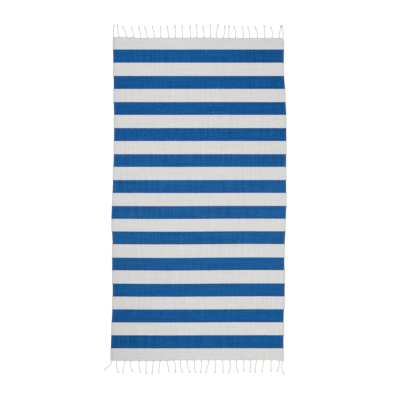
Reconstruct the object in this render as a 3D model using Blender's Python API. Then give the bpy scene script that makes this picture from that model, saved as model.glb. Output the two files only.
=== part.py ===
"""A striped beach towel, woven flat in cotton, with a knotted fringe at both ends, laid out on a surface.

Metres, +Z up. The underside lies on z = 0. +Y runs along the towel and +X across it. The origin is the
middle of the cloth's underside. The cloth is one solid. Each fringe is another: its 26 strands are rooted
in a narrow strip, which is the last few millimetres of the cloth's end, parted from the cloth by a hair.
"""

import math
from collections import namedtuple

import bmesh
import bpy
from mathutils import Vector

MM = 0.001

# ---- The cloth ----
TOP_BAND = 0.061  # off-white band at the +Y end
# Depth of each blue stripe, and of the off-white band below it, in mm, from the +Y end. The last off-white
# band is the one at the -Y end.
Pair = namedtuple("Pair", "blue white")
PAIRS = (
    Pair(69, 69),
    Pair(68, 68),
    Pair(68, 68),
    Pair(68, 68),
    Pair(67, 68),
    Pair(68, 68),
    Pair(67, 65),
    Pair(68, 69),
    Pair(67, 69),
    Pair(68, 66),
    Pair(69, 66),
    Pair(69, 64),
)
CLOTH_LENGTH = TOP_BAND + sum(pair.blue + pair.white for pair in PAIRS) * MM
CLOTH_END = CLOTH_LENGTH / 2  # the cloth ends at this distance from the middle, both ways
THICKNESS = 0.0017
WAIST = 0.0025  # a blue stripe is woven tighter, and draws each side in by this much
SHOULDER = 0.008  # the side takes this much length to step in and out
CORNER_LENGTH = 0.02  # a corner is rounded off over this much of the side
INNER_COLUMNS = 15  # rows of points between the two selvedges

# The selvedge is the firm edge where the weft turns back: a low bead along each side.
Column = namedtuple("Column", "inset height")  # from the cloth's edge, and above the surface it lies on
SELVEDGE = (Column(0.0, 0.0015), Column(0.003, 0.0020), Column(0.009, THICKNESS))

# How far each side stands from the centre line, in mm, at the middle of each off-white band, top end first.
Side = namedtuple("Side", "left right")
WHITE_BAND_SIDES = (
    Side(449, 446),
    Side(448, 445),
    Side(447, 453),
    Side(444, 458),
    Side(445, 459),
    Side(449, 458),
    Side(453, 459),
    Side(457, 455),
    Side(453, 450),
    Side(453, 451),
    Side(453, 450),
    Side(458, 446),
    Side(461, 445),
)

# Faint waves left in the cloth's upper face after it was smoothed out by hand.
Wave = namedtuple("Wave", "length turn start height")  # metres, degrees from +X, radians, metres
WAVES = (
    Wave(0.52, 12, 0.3, 0.00016),
    Wave(0.31, 74, 1.1, 0.00012),
    Wave(0.83, -38, 2.0, 0.00018),
)

# ---- The fringes ----
STRANDS = 26
STRAND_PITCH = 0.036
PARTING = 0.0003  # hair-wide gap between the cloth and the strip that holds a fringe
STRIP_DEPTH = 0.008
ROOT_WIDTH = 0.010  # the warp threads of one strand fan in from this width
TAIL = 0.009  # loose threads past the knot
TOP_WIDTH_SHARE = 0.7  # a strand's section is a trapezium, narrower at its top than where it rests

# A strand's section, from its root to its tip: at this share of the way to its knot, and so many mm past it.
Section = namedtuple("Section", "share past width height")
SECTIONS = (
    Section(0.0, 6.0, 4.2, 3.0),  # where the fan of threads has closed
    Section(0.3, 0.0, 4.0, 3.4),
    Section(0.5, 0.0, 4.0, 3.4),
    Section(0.7, 0.0, 4.0, 3.4),
    Section(1.0, -4.6, 3.8, 3.2),  # the knot, in four
    Section(1.0, -2.8, 7.2, 5.2),
    Section(1.0, 1.8, 7.6, 5.4),
    Section(1.0, 3.4, 4.0, 3.0),
    Section(1.0, 7.0, 6.2, 2.4),  # the frayed tail
    Section(1.0, 9.0, 5.0, 1.4),
)

# Each strand, from -X to +X, in mm: how far its root is off its even place, how far it bows sideways, how
# far its knot leans from the root, how far the tail hooks past that, and how far the knot lies from the cloth.
Strand = namedtuple("Strand", "shift bow lean hook reach")
TOP_STRANDS = (
    Strand(4, -1, 3, 3, 58),
    Strand(-2, -1, -8, 1, 59),
    Strand(3, 2, -20, -3, 50),
    Strand(1, 3, -10, 0, 51),
    Strand(2, 3, -8, -3, 53),
    Strand(2, 1, -13, 1, 54),
    Strand(2, 2, -9, 0, 54),
    Strand(2, -2, -4, 0, 54),
    Strand(4, 1, -5, -5, 54),
    Strand(4, 2, -2, -3, 59),
    Strand(4, 1, -2, 0, 58),
    Strand(11, 1, -3, 0, 54),
    Strand(7, 3, -3, 1, 62),
    Strand(11, 1, -7, -1, 57),
    Strand(7, 1, -2, 0, 63),
    Strand(3, -5, 9, -5, 63),
    Strand(2, 2, 8, 0, 59),
    Strand(-4, 0, -1, 0, 58),
    Strand(-7, 4, -6, -2, 55),
    Strand(-3, 5, -4, 1, 54),
    Strand(-4, 2, -9, -1, 53),
    Strand(0, 5, -10, -7, 53),
    Strand(1, 0, 0, -6, 59),
    Strand(5, 4, -6, -4, 53),
    Strand(6, -1, 8, 0, 59),
    Strand(-10, 3, -6, 6, 62),
)
BOTTOM_STRANDS = (
    Strand(-6, 11, -33, -4, 44),
    Strand(-14, -4, 5, 7, 57),
    Strand(-6, 0, -12, -4, 56),
    Strand(-13, -7, 9, 6, 51),
    Strand(-6, -2, 6, 4, 55),
    Strand(-3, -3, -1, 0, 59),
    Strand(-3, -1, -5, -7, 58),
    Strand(-2, -2, -9, 1, 58),
    Strand(-3, 0, 8, 2, 51),
    Strand(-4, 4, 9, -5, 57),
    Strand(-5, -4, 8, 2, 58),
    Strand(-6, -4, 12, 6, 58),
    Strand(-4, -3, 4, 4, 58),
    Strand(-5, 2, -2, -3, 59),
    Strand(0, 0, -15, -5, 62),
    Strand(-5, 1, 2, -6, 59),
    Strand(-3, 2, 3, 2, 58),
    Strand(-2, 6, -2, -6, 61),
    Strand(1, -5, 4, 7, 58),
    Strand(0, 1, 1, -2, 54),
    Strand(-2, 2, 0, -3, 57),
    Strand(-4, -1, -8, 3, 57),
    Strand(-3, 0, -9, 1, 57),
    Strand(1, -2, -1, 2, 54),
    Strand(6, 3, -10, -3, 52),
    Strand(-11, -6, 1, 6, 61),
)

# The cloth's two ends aren't quite straight: so many mm further out than CLOTH_END, at this many mm in X.
Bump = namedtuple("Bump", "at out")
TOP_EDGE = (
    Bump(-450, 4),
    Bump(-340, 3),
    Bump(-320, -1),
    Bump(60, 1),
    Bump(90, -1),
    Bump(432, -1),
    Bump(446, -6),
)
BOTTOM_EDGE = (Bump(-450, 0), Bump(-330, 2), Bump(-150, 1), Bump(-130, -2), Bump(400, -3), Bump(430, 1))

# sign is +1 at the +Y end. left and right say how far in the side has come at that end's corners.
End = namedtuple("End", "node sign strands edge left right")
ENDS = (
    End("fringe_top", 1, TOP_STRANDS, TOP_EDGE, 0.0005, 0.0055),
    End("fringe_bottom", -1, BOTTOM_STRANDS, BOTTOM_EDGE, 0.0005, 0.001),
)

# ---- Finishes: base colour and roughness ----
Finish = namedtuple("Finish", "name colour roughness")
OFF_WHITE = Finish("off_white_cotton", (0.686, 0.672, 0.651), 0.9)
BLUE = Finish("blue_cotton", (0.012, 0.094, 0.287), 0.88)
FRINGE_YARN = Finish("off_white_yarn", (0.66, 0.65, 0.63), 0.92)


def clear_scene():
    for item in list(bpy.data.objects):
        bpy.data.objects.remove(item, do_unlink=True)


def make_material(finish):
    material = bpy.data.materials.new(finish.name)
    material.use_nodes = True
    shader = material.node_tree.nodes["Principled BSDF"]
    shader.inputs["Base Color"].default_value = (*finish.colour, 1.0)
    shader.inputs["Roughness"].default_value = finish.roughness
    shader.inputs["Metallic"].default_value = 0.0
    material.diffuse_color = (*finish.colour, 1.0)
    return material


def make_object(name, mesh, finishes):
    """Turn the mesh's faces outwards, give it its finishes and put it in the scene."""
    bmesh.ops.recalc_face_normals(mesh, faces=mesh.faces)
    data = bpy.data.meshes.new(name)
    mesh.to_mesh(data)
    mesh.free()
    for finish in finishes:
        data.materials.append(make_material(finish))
    bpy.context.scene.collection.objects.link(bpy.data.objects.new(name, data))


def soft_step(share):
    """0 to 1 with level ends."""
    share = min(max(share, 0.0), 1.0)
    return share * share * (3 - 2 * share)


def ripple(x, y):
    """How far the faint waves lift the upper face here."""
    total = 0.0
    for wave in WAVES:
        turn = math.radians(wave.turn)
        along = x * math.cos(turn) + y * math.sin(turn)
        total += wave.height * math.sin(math.tau * along / wave.length + wave.start)
    return total


def colour_changes():
    """The y of each edge between two bands, from the top end down."""
    edges = [CLOTH_END - TOP_BAND]
    for pair in PAIRS:
        edges.append(edges[-1] - pair.blue * MM)
        edges.append(edges[-1] - pair.white * MM)
    return edges[:-1]


def band_middles():
    """The y of the middle of every band, from the top end down. Each second one, from the first, is white."""
    edges = [CLOTH_END, *colour_changes(), -CLOTH_END]
    return [(edge + following) / 2 for edge, following in zip(edges, edges[1:])]


def corner_wear(y, which):
    """How far in the side has come near the end of the towel, where the corner is rounded off."""
    end = ENDS[0] if y > 0 else ENDS[1]
    from_end = max(CLOTH_END - abs(y), 0.0)
    return getattr(end, which) * max(1 - from_end / CORNER_LENGTH, 0.0) ** 2


def cloth_side(y, which):
    """Distance of the left or right side from the centre line, at this place along the towel."""
    middles = band_middles()[::2]
    above = min(max(sum(middle >= y for middle in middles) - 1, 0), len(middles) - 2)
    down = (middles[above] - y) / (middles[above] - middles[above + 1])
    start = getattr(WHITE_BAND_SIDES[above], which) * MM
    stop = getattr(WHITE_BAND_SIDES[above + 1], which) * MM
    blue_top, blue_bottom = colour_changes()[2 * above : 2 * above + 2]
    below_top = soft_step((blue_top + SHOULDER - y) / (2 * SHOULDER))
    above_bottom = soft_step((y - blue_bottom + SHOULDER) / (2 * SHOULDER))
    side = start + (stop - start) * soft_step(down) - WAIST * below_top * above_bottom
    return side - corner_wear(y, which)


def cloth_rows():
    """The y of each row of points, from the top end down: the colour changes, their shoulders, the middles."""
    end = CLOTH_END - STRIP_DEPTH - PARTING
    corner = CLOTH_END - CORNER_LENGTH * 0.7
    rows = [end, corner, -corner, -end, *band_middles()]
    for change in colour_changes():
        rows += [change + SHOULDER, change, change - SHOULDER]
    return sorted(rows, reverse=True)


def is_blue(y):
    """Whether the band at this place is a blue one."""
    return sum(change > y for change in colour_changes()) % 2 == 1


def row_points(y):
    """Points of the upper face across one row, from -X to +X."""
    left, right = -cloth_side(y, "left"), cloth_side(y, "right")
    points = [(left + column.inset, column.height) for column in SELVEDGE]
    inner_left, inner_right = left + SELVEDGE[-1].inset, right - SELVEDGE[-1].inset
    for index in range(1, INNER_COLUMNS + 1):
        share = index / (INNER_COLUMNS + 1)
        points.append((inner_left + (inner_right - inner_left) * share, THICKNESS))
    points += [(right - column.inset, column.height) for column in reversed(SELVEDGE)]
    return [Vector((x, y, height + ripple(x, y))) for x, height in points]


def build_cloth():
    """The woven cloth: a wavy upper face over a flat underside, each row in its band's colour."""
    mesh = bmesh.new()
    uppers, lowers, rows = [], [], cloth_rows()
    for y in rows:
        points = row_points(y)
        uppers.append([mesh.verts.new(point) for point in points])
        lowers.append([mesh.verts.new((point.x, y, 0.0)) for point in (points[0], points[-1])])
    for index in range(len(rows) - 1):
        near, far = uppers[index], uppers[index + 1]
        low_near, low_far = lowers[index], lowers[index + 1]
        faces = [mesh.faces.new((near[i], far[i], far[i + 1], near[i + 1])) for i in range(len(near) - 1)]
        faces.append(mesh.faces.new((low_near[0], low_near[1], low_far[1], low_far[0])))
        faces.append(mesh.faces.new((near[0], low_near[0], low_far[0], far[0])))
        faces.append(mesh.faces.new((near[-1], far[-1], low_far[1], low_near[1])))
        for face in faces:
            face.material_index = int(is_blue((rows[index] + rows[index + 1]) / 2))
    for upper, lower in ((uppers[0], lowers[0]), (uppers[-1], lowers[-1])):
        mesh.faces.new([*upper, lower[1], lower[0]])
    make_object("towel_cloth", mesh, (OFF_WHITE, BLUE))


def edge_out(end, x):
    """How far from the towel's middle the cloth's end lies at this x."""
    place = min(max(x / MM, end.edge[0].at), end.edge[-1].at)
    for before, after in zip(end.edge, end.edge[1:]):
        if place <= after.at:
            break
    share = soft_step((place - before.at) / (after.at - before.at))
    return CLOTH_END + (before.out + (after.out - before.out) * share) * MM


def root_place(index, strand):
    """The x of a strand's root."""
    return (index - (STRANDS - 1) / 2) * STRAND_PITCH + strand.shift * MM


def strand_middle(end, index, out):
    """The strand's middle line, `out` metres past the cloth's edge, as a point on the surface."""
    strand = end.strands[index]
    root = root_place(index, strand)
    share = min(out / (strand.reach * MM), 1.0)
    past = max(out - strand.reach * MM, 0.0)
    sideways = strand.lean * share + strand.bow * 4 * share * (1 - share) + strand.hook * past / TAIL
    return Vector((root + sideways * MM, end.sign * (edge_out(end, root) + out), 0.0))


def strand_ring(end, index, section):
    """The four corners of a strand's section: resting left and right, then upper right and left."""
    out = section.share * end.strands[index].reach * MM + section.past * MM
    middle = strand_middle(end, index, out)
    step = 0.5 * MM
    along = strand_middle(end, index, out + step) - strand_middle(end, index, max(out - step, 0.0))
    across = Vector((abs(along.y), -along.x * end.sign, 0.0)).normalized()
    half = section.width * MM / 2
    up = Vector((0.0, 0.0, section.height * MM))
    upper_half = half * TOP_WIDTH_SHARE
    return [
        middle - across * half,
        middle + across * half,
        middle + across * upper_half + up,
        middle - across * upper_half + up,
    ]


def add_strand(mesh, end, index, root_ring):
    """Draw a strand out of its four root points, section by section, and close its tip."""
    last = root_ring
    for section in SECTIONS:
        ring = [mesh.verts.new(corner) for corner in strand_ring(end, index, section)]
        for corner in range(4):
            following = (corner + 1) % 4
            mesh.faces.new((last[corner], last[following], ring[following], ring[corner]))
        last = ring
    mesh.faces.new(last)


def strip_stations(end):
    """The strip's cross sections, from -X to +X, as (x at the cloth, x at the outer edge)."""
    inner = end.sign * (CLOTH_END - STRIP_DEPTH)
    left, right = -cloth_side(inner, "left"), cloth_side(inner, "right")
    outer_left = -cloth_side(end.sign * edge_out(end, left), "left")
    outer_right = cloth_side(end.sign * edge_out(end, right), "right")
    stations = [(left, outer_left)]
    for index, strand in enumerate(end.strands):
        root = root_place(index, strand)
        start = max(root - ROOT_WIDTH / 2, outer_left + MM)
        stop = min(root + ROOT_WIDTH / 2, outer_right - MM)
        stations += [(start, start), (stop, stop)]
    stations.append((right, outer_right))
    return stations


def build_fringe(end):
    """The strip at one end of the cloth, with its strands drawn out of its outer edge."""
    mesh = bmesh.new()
    inner = CLOTH_END - STRIP_DEPTH
    sections = []
    for inner_x, outer_x in strip_stations(end):
        outer = edge_out(end, outer_x)
        corners = []
        for x, out in ((inner_x, inner), (outer_x, outer)):
            y = end.sign * out
            corners += [mesh.verts.new((x, y, 0.0)), mesh.verts.new((x, y, THICKNESS + ripple(x, y)))]
        sections.append(corners)
    for number, (near, far) in enumerate(zip(sections, sections[1:])):
        low_in, high_in, low_out, high_out = range(4)
        mesh.faces.new((near[low_in], near[low_out], far[low_out], far[low_in]))
        mesh.faces.new((near[high_in], far[high_in], far[high_out], near[high_out]))
        mesh.faces.new((near[low_in], far[low_in], far[high_in], near[high_in]))
        if number % 2 == 0:
            mesh.faces.new((near[low_out], near[high_out], far[high_out], far[low_out]))
        else:
            root_ring = [near[low_out], far[low_out], far[high_out], near[high_out]]
            add_strand(mesh, end, number // 2, root_ring)
    for corners in (sections[0], sections[-1]):
        mesh.faces.new((corners[0], corners[2], corners[3], corners[1]))
    make_object(end.node, mesh, (FRINGE_YARN,))


def main():
    clear_scene()
    build_cloth()
    for end in ENDS:
        build_fringe(end)


main()
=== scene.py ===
# %% [markdown]
# # A striped beach towel with a knotted fringe
#
# The towel is one length of cotton, woven flat in broad blue and off-white bands. At both ends the warp
# threads run on past the weave, and they are gathered, twisted and knotted into 26 strands. It lies spread
# out on a pale floor, and the picture looks straight down on it.
#
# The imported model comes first. It holds three plain solids: the cloth, and a fringe for each end. They give
# every size and place, and they stay where they are. The script builds a finer piece over each of them.

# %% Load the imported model
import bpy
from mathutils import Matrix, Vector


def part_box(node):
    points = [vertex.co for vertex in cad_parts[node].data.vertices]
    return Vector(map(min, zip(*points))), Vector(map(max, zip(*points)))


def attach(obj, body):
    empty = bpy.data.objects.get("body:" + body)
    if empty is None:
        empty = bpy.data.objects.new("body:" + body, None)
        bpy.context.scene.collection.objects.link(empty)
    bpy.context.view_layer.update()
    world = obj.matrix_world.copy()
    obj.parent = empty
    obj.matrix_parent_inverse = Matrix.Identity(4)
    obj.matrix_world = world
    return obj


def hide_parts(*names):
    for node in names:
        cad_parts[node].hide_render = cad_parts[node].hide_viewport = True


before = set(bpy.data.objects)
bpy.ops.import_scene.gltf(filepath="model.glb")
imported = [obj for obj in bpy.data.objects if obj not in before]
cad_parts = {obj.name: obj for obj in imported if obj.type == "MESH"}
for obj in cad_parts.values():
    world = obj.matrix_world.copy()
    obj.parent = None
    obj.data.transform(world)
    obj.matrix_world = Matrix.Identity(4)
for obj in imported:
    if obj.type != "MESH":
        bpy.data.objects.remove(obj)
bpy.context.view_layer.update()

for name in sorted(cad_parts):
    low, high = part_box(name)
    print(name, "from", tuple(round(v, 4) for v in low), "to", tuple(round(v, 4) for v in high))

# %% [markdown]
# ## The camera
#
# The photograph looks straight down, and the towel's sides stay parallel in it, so it was taken from far
# away. A camera close to the floor would spread the sides apart. A long lens from high up gives the same
# even scale everywhere, and still behaves as a real camera does when it is moved round to another side.

# %% Hang the camera over the towel
import math

import bpy
from mathutils import Vector

VIEW_WIDTH = 2.088  # metres of floor across the picture
VIEW_MIDDLE = (0.0063, -0.0042)  # the towel lies a little off the middle of the picture
LENS = 200.0  # mm
SENSOR = 36.0  # mm
SIGHT = 100.0  # metres, further off than anything in the scene


def placed(name, data, place=(0.0, 0.0, 0.0)):
    """A new object, put into the scene at this place."""
    made = bpy.data.objects.new(name, data)
    made.location = place
    bpy.context.scene.collection.objects.link(made)
    return made


lens_data = bpy.data.cameras.new("overhead_camera")
lens_data.lens = LENS
lens_data.sensor_width = SENSOR
lens_data.clip_end = SIGHT
camera = placed("overhead_camera", lens_data, (*VIEW_MIDDLE, VIEW_WIDTH * LENS / SENSOR))
bpy.context.scene.camera = camera
print("camera height", round(camera.location.z, 2), "m")

# %% [markdown]
# ## The outline of the cloth
#
# A woven cloth is never quite a rectangle. Each band was beaten up to a slightly different depth. Most of the
# blue stripes draw the sides in a little, some more than others, and the whole cloth drifts sideways where it
# was smoothed out by hand. The solids were built from these same numbers, but with one mean waist of 2.5 mm
# for every stripe. A few measured bands and sides, joined by soft steps, say more about the real outline than
# a long list of points would.

# %% Bands and sides
from collections import namedtuple

MM = 0.001
TOP_BAND = 61 * MM  # the off-white band at the +Y end
# Depth of each blue stripe, and of the off-white band below it, from the +Y end. Then how far the blue one
# draws in the left and the right side. All in mm.
Pair = namedtuple("Pair", "blue white left right")
PAIRS = (
    Pair(69, 69, 1.5, 1.5),
    Pair(68, 68, 3.5, 1.5),
    Pair(68, 68, 2.5, 0.5),
    Pair(68, 68, 2.0, 1.5),
    Pair(67, 68, 2.5, 2.5),
    Pair(68, 68, 2.0, 2.5),
    Pair(67, 65, 0.0, 1.5),
    Pair(68, 69, 4.0, 2.5),
    Pair(67, 69, 0.5, 4.0),
    Pair(68, 66, 3.5, 2.0),
    Pair(69, 66, 2.5, 5.0),
    Pair(69, 64, 1.5, 3.5),
)
CLOTH_END = (TOP_BAND + sum(pair.blue + pair.white for pair in PAIRS) * MM) / 2

# How far each side stands from the centre line, in mm, at the middle of each off-white band, top end first.
Side = namedtuple("Side", "left right")
WHITE_BAND_SIDES = (
    Side(449, 446),
    Side(448, 445),
    Side(447, 453),
    Side(444, 458),
    Side(445, 459),
    Side(449, 458),
    Side(453, 459),
    Side(457, 455),
    Side(453, 450),
    Side(453, 451),
    Side(453, 450),
    Side(458, 446),
    Side(461, 445),
)
# How far in the side has come at each corner, in mm.
Corner = namedtuple("Corner", "left right")
TOP_CORNERS = Corner(0.5, 5.5)
BOTTOM_CORNERS = Corner(0.5, 1.0)

band_edges = [CLOTH_END, CLOTH_END - TOP_BAND]
for pair in PAIRS:
    band_edges.append(band_edges[-1] - pair.blue * MM)
    band_edges.append(band_edges[-1] - pair.white * MM)
colour_changes = band_edges[1:-1]
white_middles = [(upper + lower) / 2 for upper, lower in zip(band_edges[::2], band_edges[1::2])]
print(len(colour_changes), "colour changes; cloth", round(2 * CLOTH_END, 4), "m long")

# %% [markdown]
# ## From band to band
#
# Each side was measured once in every off-white band. From one band to the next it drifts over in a soft
# step, less the waist of the blue stripe between them. Straight lines from band to band would be simpler, but
# they would show as corners.

# %% Join the bands' sides
SHOULDER = 8 * MM  # a blue stripe takes this much length to draw a side in
CORNER_LENGTH = 20 * MM  # a corner is rounded off over this much of the side


def soft_step(share):
    """0 to 1 with level ends."""
    share = min(max(share, 0.0), 1.0)
    return share * share * (3 - 2 * share)


def cloth_side(y, which):
    """Distance of the left or right side from the centre line, at this place along the towel."""
    above = min(max(sum(middle >= y for middle in white_middles) - 1, 0), len(white_middles) - 2)
    down = (white_middles[above] - y) / (white_middles[above] - white_middles[above + 1])
    start = getattr(WHITE_BAND_SIDES[above], which)
    stop = getattr(WHITE_BAND_SIDES[above + 1], which)
    blue_top, blue_bottom = colour_changes[2 * above : 2 * above + 2]
    below_top = soft_step((blue_top + SHOULDER - y) / (2 * SHOULDER))
    above_bottom = soft_step((y - blue_bottom + SHOULDER) / (2 * SHOULDER))
    corners = TOP_CORNERS if y > 0 else BOTTOM_CORNERS
    to_end = max(CLOTH_END - abs(y), 0.0)
    worn = getattr(corners, which) * max(1 - to_end / CORNER_LENGTH, 0.0) ** 2
    waist = getattr(PAIRS[above], which) * below_top * above_bottom
    return (start + (stop - start) * soft_step(down) - worn - waist) * MM


print("width at the middle", round(cloth_side(0, "left") + cloth_side(0, "right"), 4), "m")

# %% [markdown]
# ## The ends and their strands
#
# Each strand is a row of a table: where its root is, how it bows, where its knot lies and how far out its
# threads come together. They were read off the photograph strand by strand, because no two lie alike, and a
# rule that spread them evenly would look like a comb. The cloth's two ends aren't quite straight either.
#
# The last column is the weakest. The photograph shows 5 mm in one pixel, so how far out the warp threads
# come together was read to about 3 mm. For 22 of the 52 strands it can't be told at all, because the threads
# close in too near the cloth, or the towel's corner hides it. Those have a 0, and one assumed distance
# serves them all. Fans as long as the readings, of thicker threads, came out two to three times as dark as
# the photograph's. So the threads are thin now, and one factor shortens all the fans.

# %% The strands, from -X to +X
STRAND_PITCH = 36 * MM
TAIL = 9 * MM  # loose threads past the knot

# In mm: how far the root is off its even place, how far the strand bows sideways, how far its knot leans from
# the root, how far the tail hooks past that, how far the knot lies from the cloth, and how far from the cloth
# the warp threads have come together, or 0 where the photograph doesn't show it.
UNSEEN_GATHER = 3  # mm, assumed where the table has a 0
GATHER_SCALE = 0.6  # the column times this gives the distances that are built
Strand = namedtuple("Strand", "shift bow lean hook reach gather")
TOP_STRANDS = (
    Strand(4, -1, 3, 3, 58, 0),
    Strand(-2, -1, -8, 1, 59, 8),
    Strand(3, 2, -20, -3, 50, 0),
    Strand(1, 3, -10, 0, 51, 0),
    Strand(2, 3, -8, -3, 53, 0),
    Strand(2, 1, -13, 1, 54, 0),
    Strand(2, 2, -9, 0, 54, 5),
    Strand(2, -2, -4, 0, 54, 12),
    Strand(4, 1, -5, -5, 54, 3),
    Strand(4, 2, -2, -3, 59, 5),
    Strand(4, 1, -2, 0, 58, 5),
    Strand(11, 1, -3, 0, 54, 3),
    Strand(7, 3, -3, 1, 62, 8),
    Strand(11, 1, -7, -1, 57, 0),
    Strand(7, 1, -2, 0, 63, 3),
    Strand(3, -5, 9, -5, 63, 11),
    Strand(2, 2, 8, 0, 59, 7),
    Strand(-4, 0, -1, 0, 58, 4),
    Strand(-7, 4, -6, -2, 55, 10),
    Strand(-3, 5, -4, 1, 54, 0),
    Strand(-4, 2, -9, -1, 53, 0),
    Strand(0, 5, -10, -7, 53, 0),
    Strand(1, 0, 0, -6, 59, 6),
    Strand(5, 4, -6, -4, 53, 0),
    Strand(6, -1, 8, 0, 59, 7),
    Strand(-10, 3, -6, 6, 62, 0),
)
BOTTOM_STRANDS = (
    Strand(-6, 11, -33, -4, 44, 0),
    Strand(-14, -4, 5, 7, 57, 4),
    Strand(-6, 0, -12, -4, 56, 6),
    Strand(-13, -7, 9, 6, 51, 7),
    Strand(-6, -2, 6, 4, 55, 3),
    Strand(-3, -3, -1, 0, 59, 6),
    Strand(-3, -1, -5, -7, 58, 8),
    Strand(-2, -2, -9, 1, 58, 10),
    Strand(-3, 0, 8, 2, 51, 5),
    Strand(-4, 4, 9, -5, 57, 5),
    Strand(-5, -4, 8, 2, 58, 0),
    Strand(-6, -4, 12, 6, 58, 7),
    Strand(-4, -3, 4, 4, 58, 13),
    Strand(-5, 2, -2, -3, 59, 7),
    Strand(0, 0, -15, -5, 62, 0),
    Strand(-5, 1, 2, -6, 59, 0),
    Strand(-3, 2, 3, 2, 58, 0),
    Strand(-2, 6, -2, -6, 61, 0),
    Strand(1, -5, 4, 7, 58, 0),
    Strand(0, 1, 1, -2, 54, 0),
    Strand(-2, 2, 0, -3, 57, 0),
    Strand(-4, -1, -8, 3, 57, 0),
    Strand(-3, 0, -9, 1, 57, 8),
    Strand(1, -2, -1, 2, 54, 13),
    Strand(6, 3, -10, -3, 52, 8),
    Strand(-11, -6, 1, 6, 61, 0),
)

# The cloth ends so many mm further out than CLOTH_END, at this many mm in X.
Bump = namedtuple("Bump", "at out")
TOP_EDGE = (
    Bump(-450, 4),
    Bump(-340, 3),
    Bump(-320, -1),
    Bump(60, 1),
    Bump(90, -1),
    Bump(432, -1),
    Bump(446, -6),
)
BOTTOM_EDGE = (Bump(-450, 0), Bump(-330, 2), Bump(-150, 1), Bump(-130, -2), Bump(400, -3), Bump(430, 1))

End = namedtuple("End", "node sign strands edge")  # sign is +1 at the +Y end
ENDS = (
    End("fringe_top", 1, TOP_STRANDS, TOP_EDGE),
    End("fringe_bottom", -1, BOTTOM_STRANDS, BOTTOM_EDGE),
)
print(sum(len(end.strands) for end in ENDS), "strands at", len(ENDS), "ends")

# %% [markdown]
# ## A place on a strand
#
# The cloth's ends are joined up by soft steps, as its sides are. A strand runs from its root to its knot in a
# shallow bow, and the tail hooks off past that. A curve object would need two handles for each strand, and
# the photograph gives no more than one bow.


# %% Follow a strand
def edge_out(end, x):
    """How far from the towel's middle the cloth's end lies at this x."""
    place = min(max(x / MM, end.edge[0].at), end.edge[-1].at)
    for before, after in zip(end.edge, end.edge[1:]):
        if place <= after.at:
            break
    share = soft_step((place - before.at) / (after.at - before.at))
    return CLOTH_END + (before.out + (after.out - before.out) * share) * MM


def root_place(end, index):
    """The x of a strand's root."""
    evenly = (index - (len(end.strands) - 1) / 2) * STRAND_PITCH
    return evenly + end.strands[index].shift * MM


def strand_middle(end, index, out):
    """The strand's middle line, `out` metres past the cloth's edge, as a point on the floor."""
    strand = end.strands[index]
    root = root_place(end, index)
    share = min(out / (strand.reach * MM), 1.0)
    past = max(out - strand.reach * MM, 0.0)
    sideways = strand.lean * share + strand.bow * 4 * share * (1 - share) + strand.hook * past / TAIL
    return Vector((root + sideways * MM, end.sign * (edge_out(end, root) + out), 0.0))


for end in ENDS:
    places = [strand_middle(end, i, strand.reach * MM).y for i, strand in enumerate(end.strands)]
    print(end.node, len(places), "knots, y", round(min(places), 3), "to", round(max(places), 3))

# %% [markdown]
# ## How the cloth lies
#
# Laid out by hand, thin cotton touches the floor in most places and rises a millimetre in others. From
# straight above, heights this small can't be measured: only their shading shows. The waves below are the
# same as in the solid. Two smaller forms are added, and their heights are assumed. The blue bands draw the
# sides in, so the off-white ones should stand a little proud between them. The ends should be fluted, as each
# strand pinches the warp.
#
# A cloth simulation would settle such a sheet dead flat. The waves are placed by formula instead, which keeps
# them where they belong and gives the same cloth at every run.

# %% Waves, puckers and flutes
Wave = namedtuple("Wave", "length turn start height")  # metres, degrees from +X, radians, metres
WAVES = (
    Wave(0.52, 12, 0.3, 0.16 * MM),
    Wave(0.31, 74, 1.1, 0.12 * MM),
    Wave(0.83, -38, 2.0, 0.18 * MM),
)
WAVES_FLOOR = sum(wave.height for wave in WAVES)  # raises the waves so that their troughs touch the floor

SIDE_PUCKER = 0.5 * MM  # how far an off-white band stands proud at the side
PUCKER_REACH = 30 * MM
FLUTE = 0.7 * MM  # how far the cloth rises between two strands' roots
FLUTE_REACH = 35 * MM
SAMPLE_STEP = 30 * MM


def ripple(x, y):
    """How far the faint waves lift the cloth here."""
    total = WAVES_FLOOR
    for wave in WAVES:
        turn = math.radians(wave.turn)
        along = x * math.cos(turn) + y * math.sin(turn)
        total += wave.height * math.sin(math.tau * along / wave.length + wave.start)
    return total


def pucker_lift(inset, y):
    """How far an off-white band stands proud here, so far in from the side."""
    band = max(sum(edge >= y for edge in band_edges) - 1, 0)
    if band % 2 == 1 or band >= len(band_edges) - 1:
        return 0.0
    upper, lower = band_edges[band], band_edges[band + 1]
    across_band = math.sin(math.pi * (upper - y) / (upper - lower)) ** 2
    return SIDE_PUCKER * across_band * max(1 - inset / PUCKER_REACH, 0.0) ** 2


def nearer_end(y):
    """The end on this side of the towel's middle."""
    return ENDS[0] if y > 0 else ENDS[1]


def root_places(end):
    """The x of each root of this end."""
    return [root_place(end, index) for index in range(len(end.strands))]


def flute_lift(x, y):
    """How far the cloth rises here between the pinched roots of two strands."""
    near = 1 - soft_step((CLOTH_END - abs(y)) / FLUTE_REACH)
    if near == 0.0:
        return 0.0
    roots = root_places(nearer_end(y))
    before = min(max(sum(root <= x for root in roots) - 1, 0), len(roots) - 2)
    share = (x - roots[before]) / (roots[before + 1] - roots[before])
    return FLUTE * near * math.sin(math.pi * min(max(share, 0.0), 1.0)) ** 2


def lift(x, y):
    """How far the cloth's underside is off the floor here."""
    inset = max(min(x + cloth_side(y, "left"), cloth_side(y, "right") - x), 0.0)
    return ripple(x, y) + pucker_lift(inset, y) + flute_lift(x, y)


samples = [lift(x * SAMPLE_STEP, y * SAMPLE_STEP) for x in range(-14, 15) for y in range(-27, 28)]
print("the cloth lies", round(min(samples) / MM, 2), "to", round(max(samples) / MM, 2), "mm off the floor")

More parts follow.
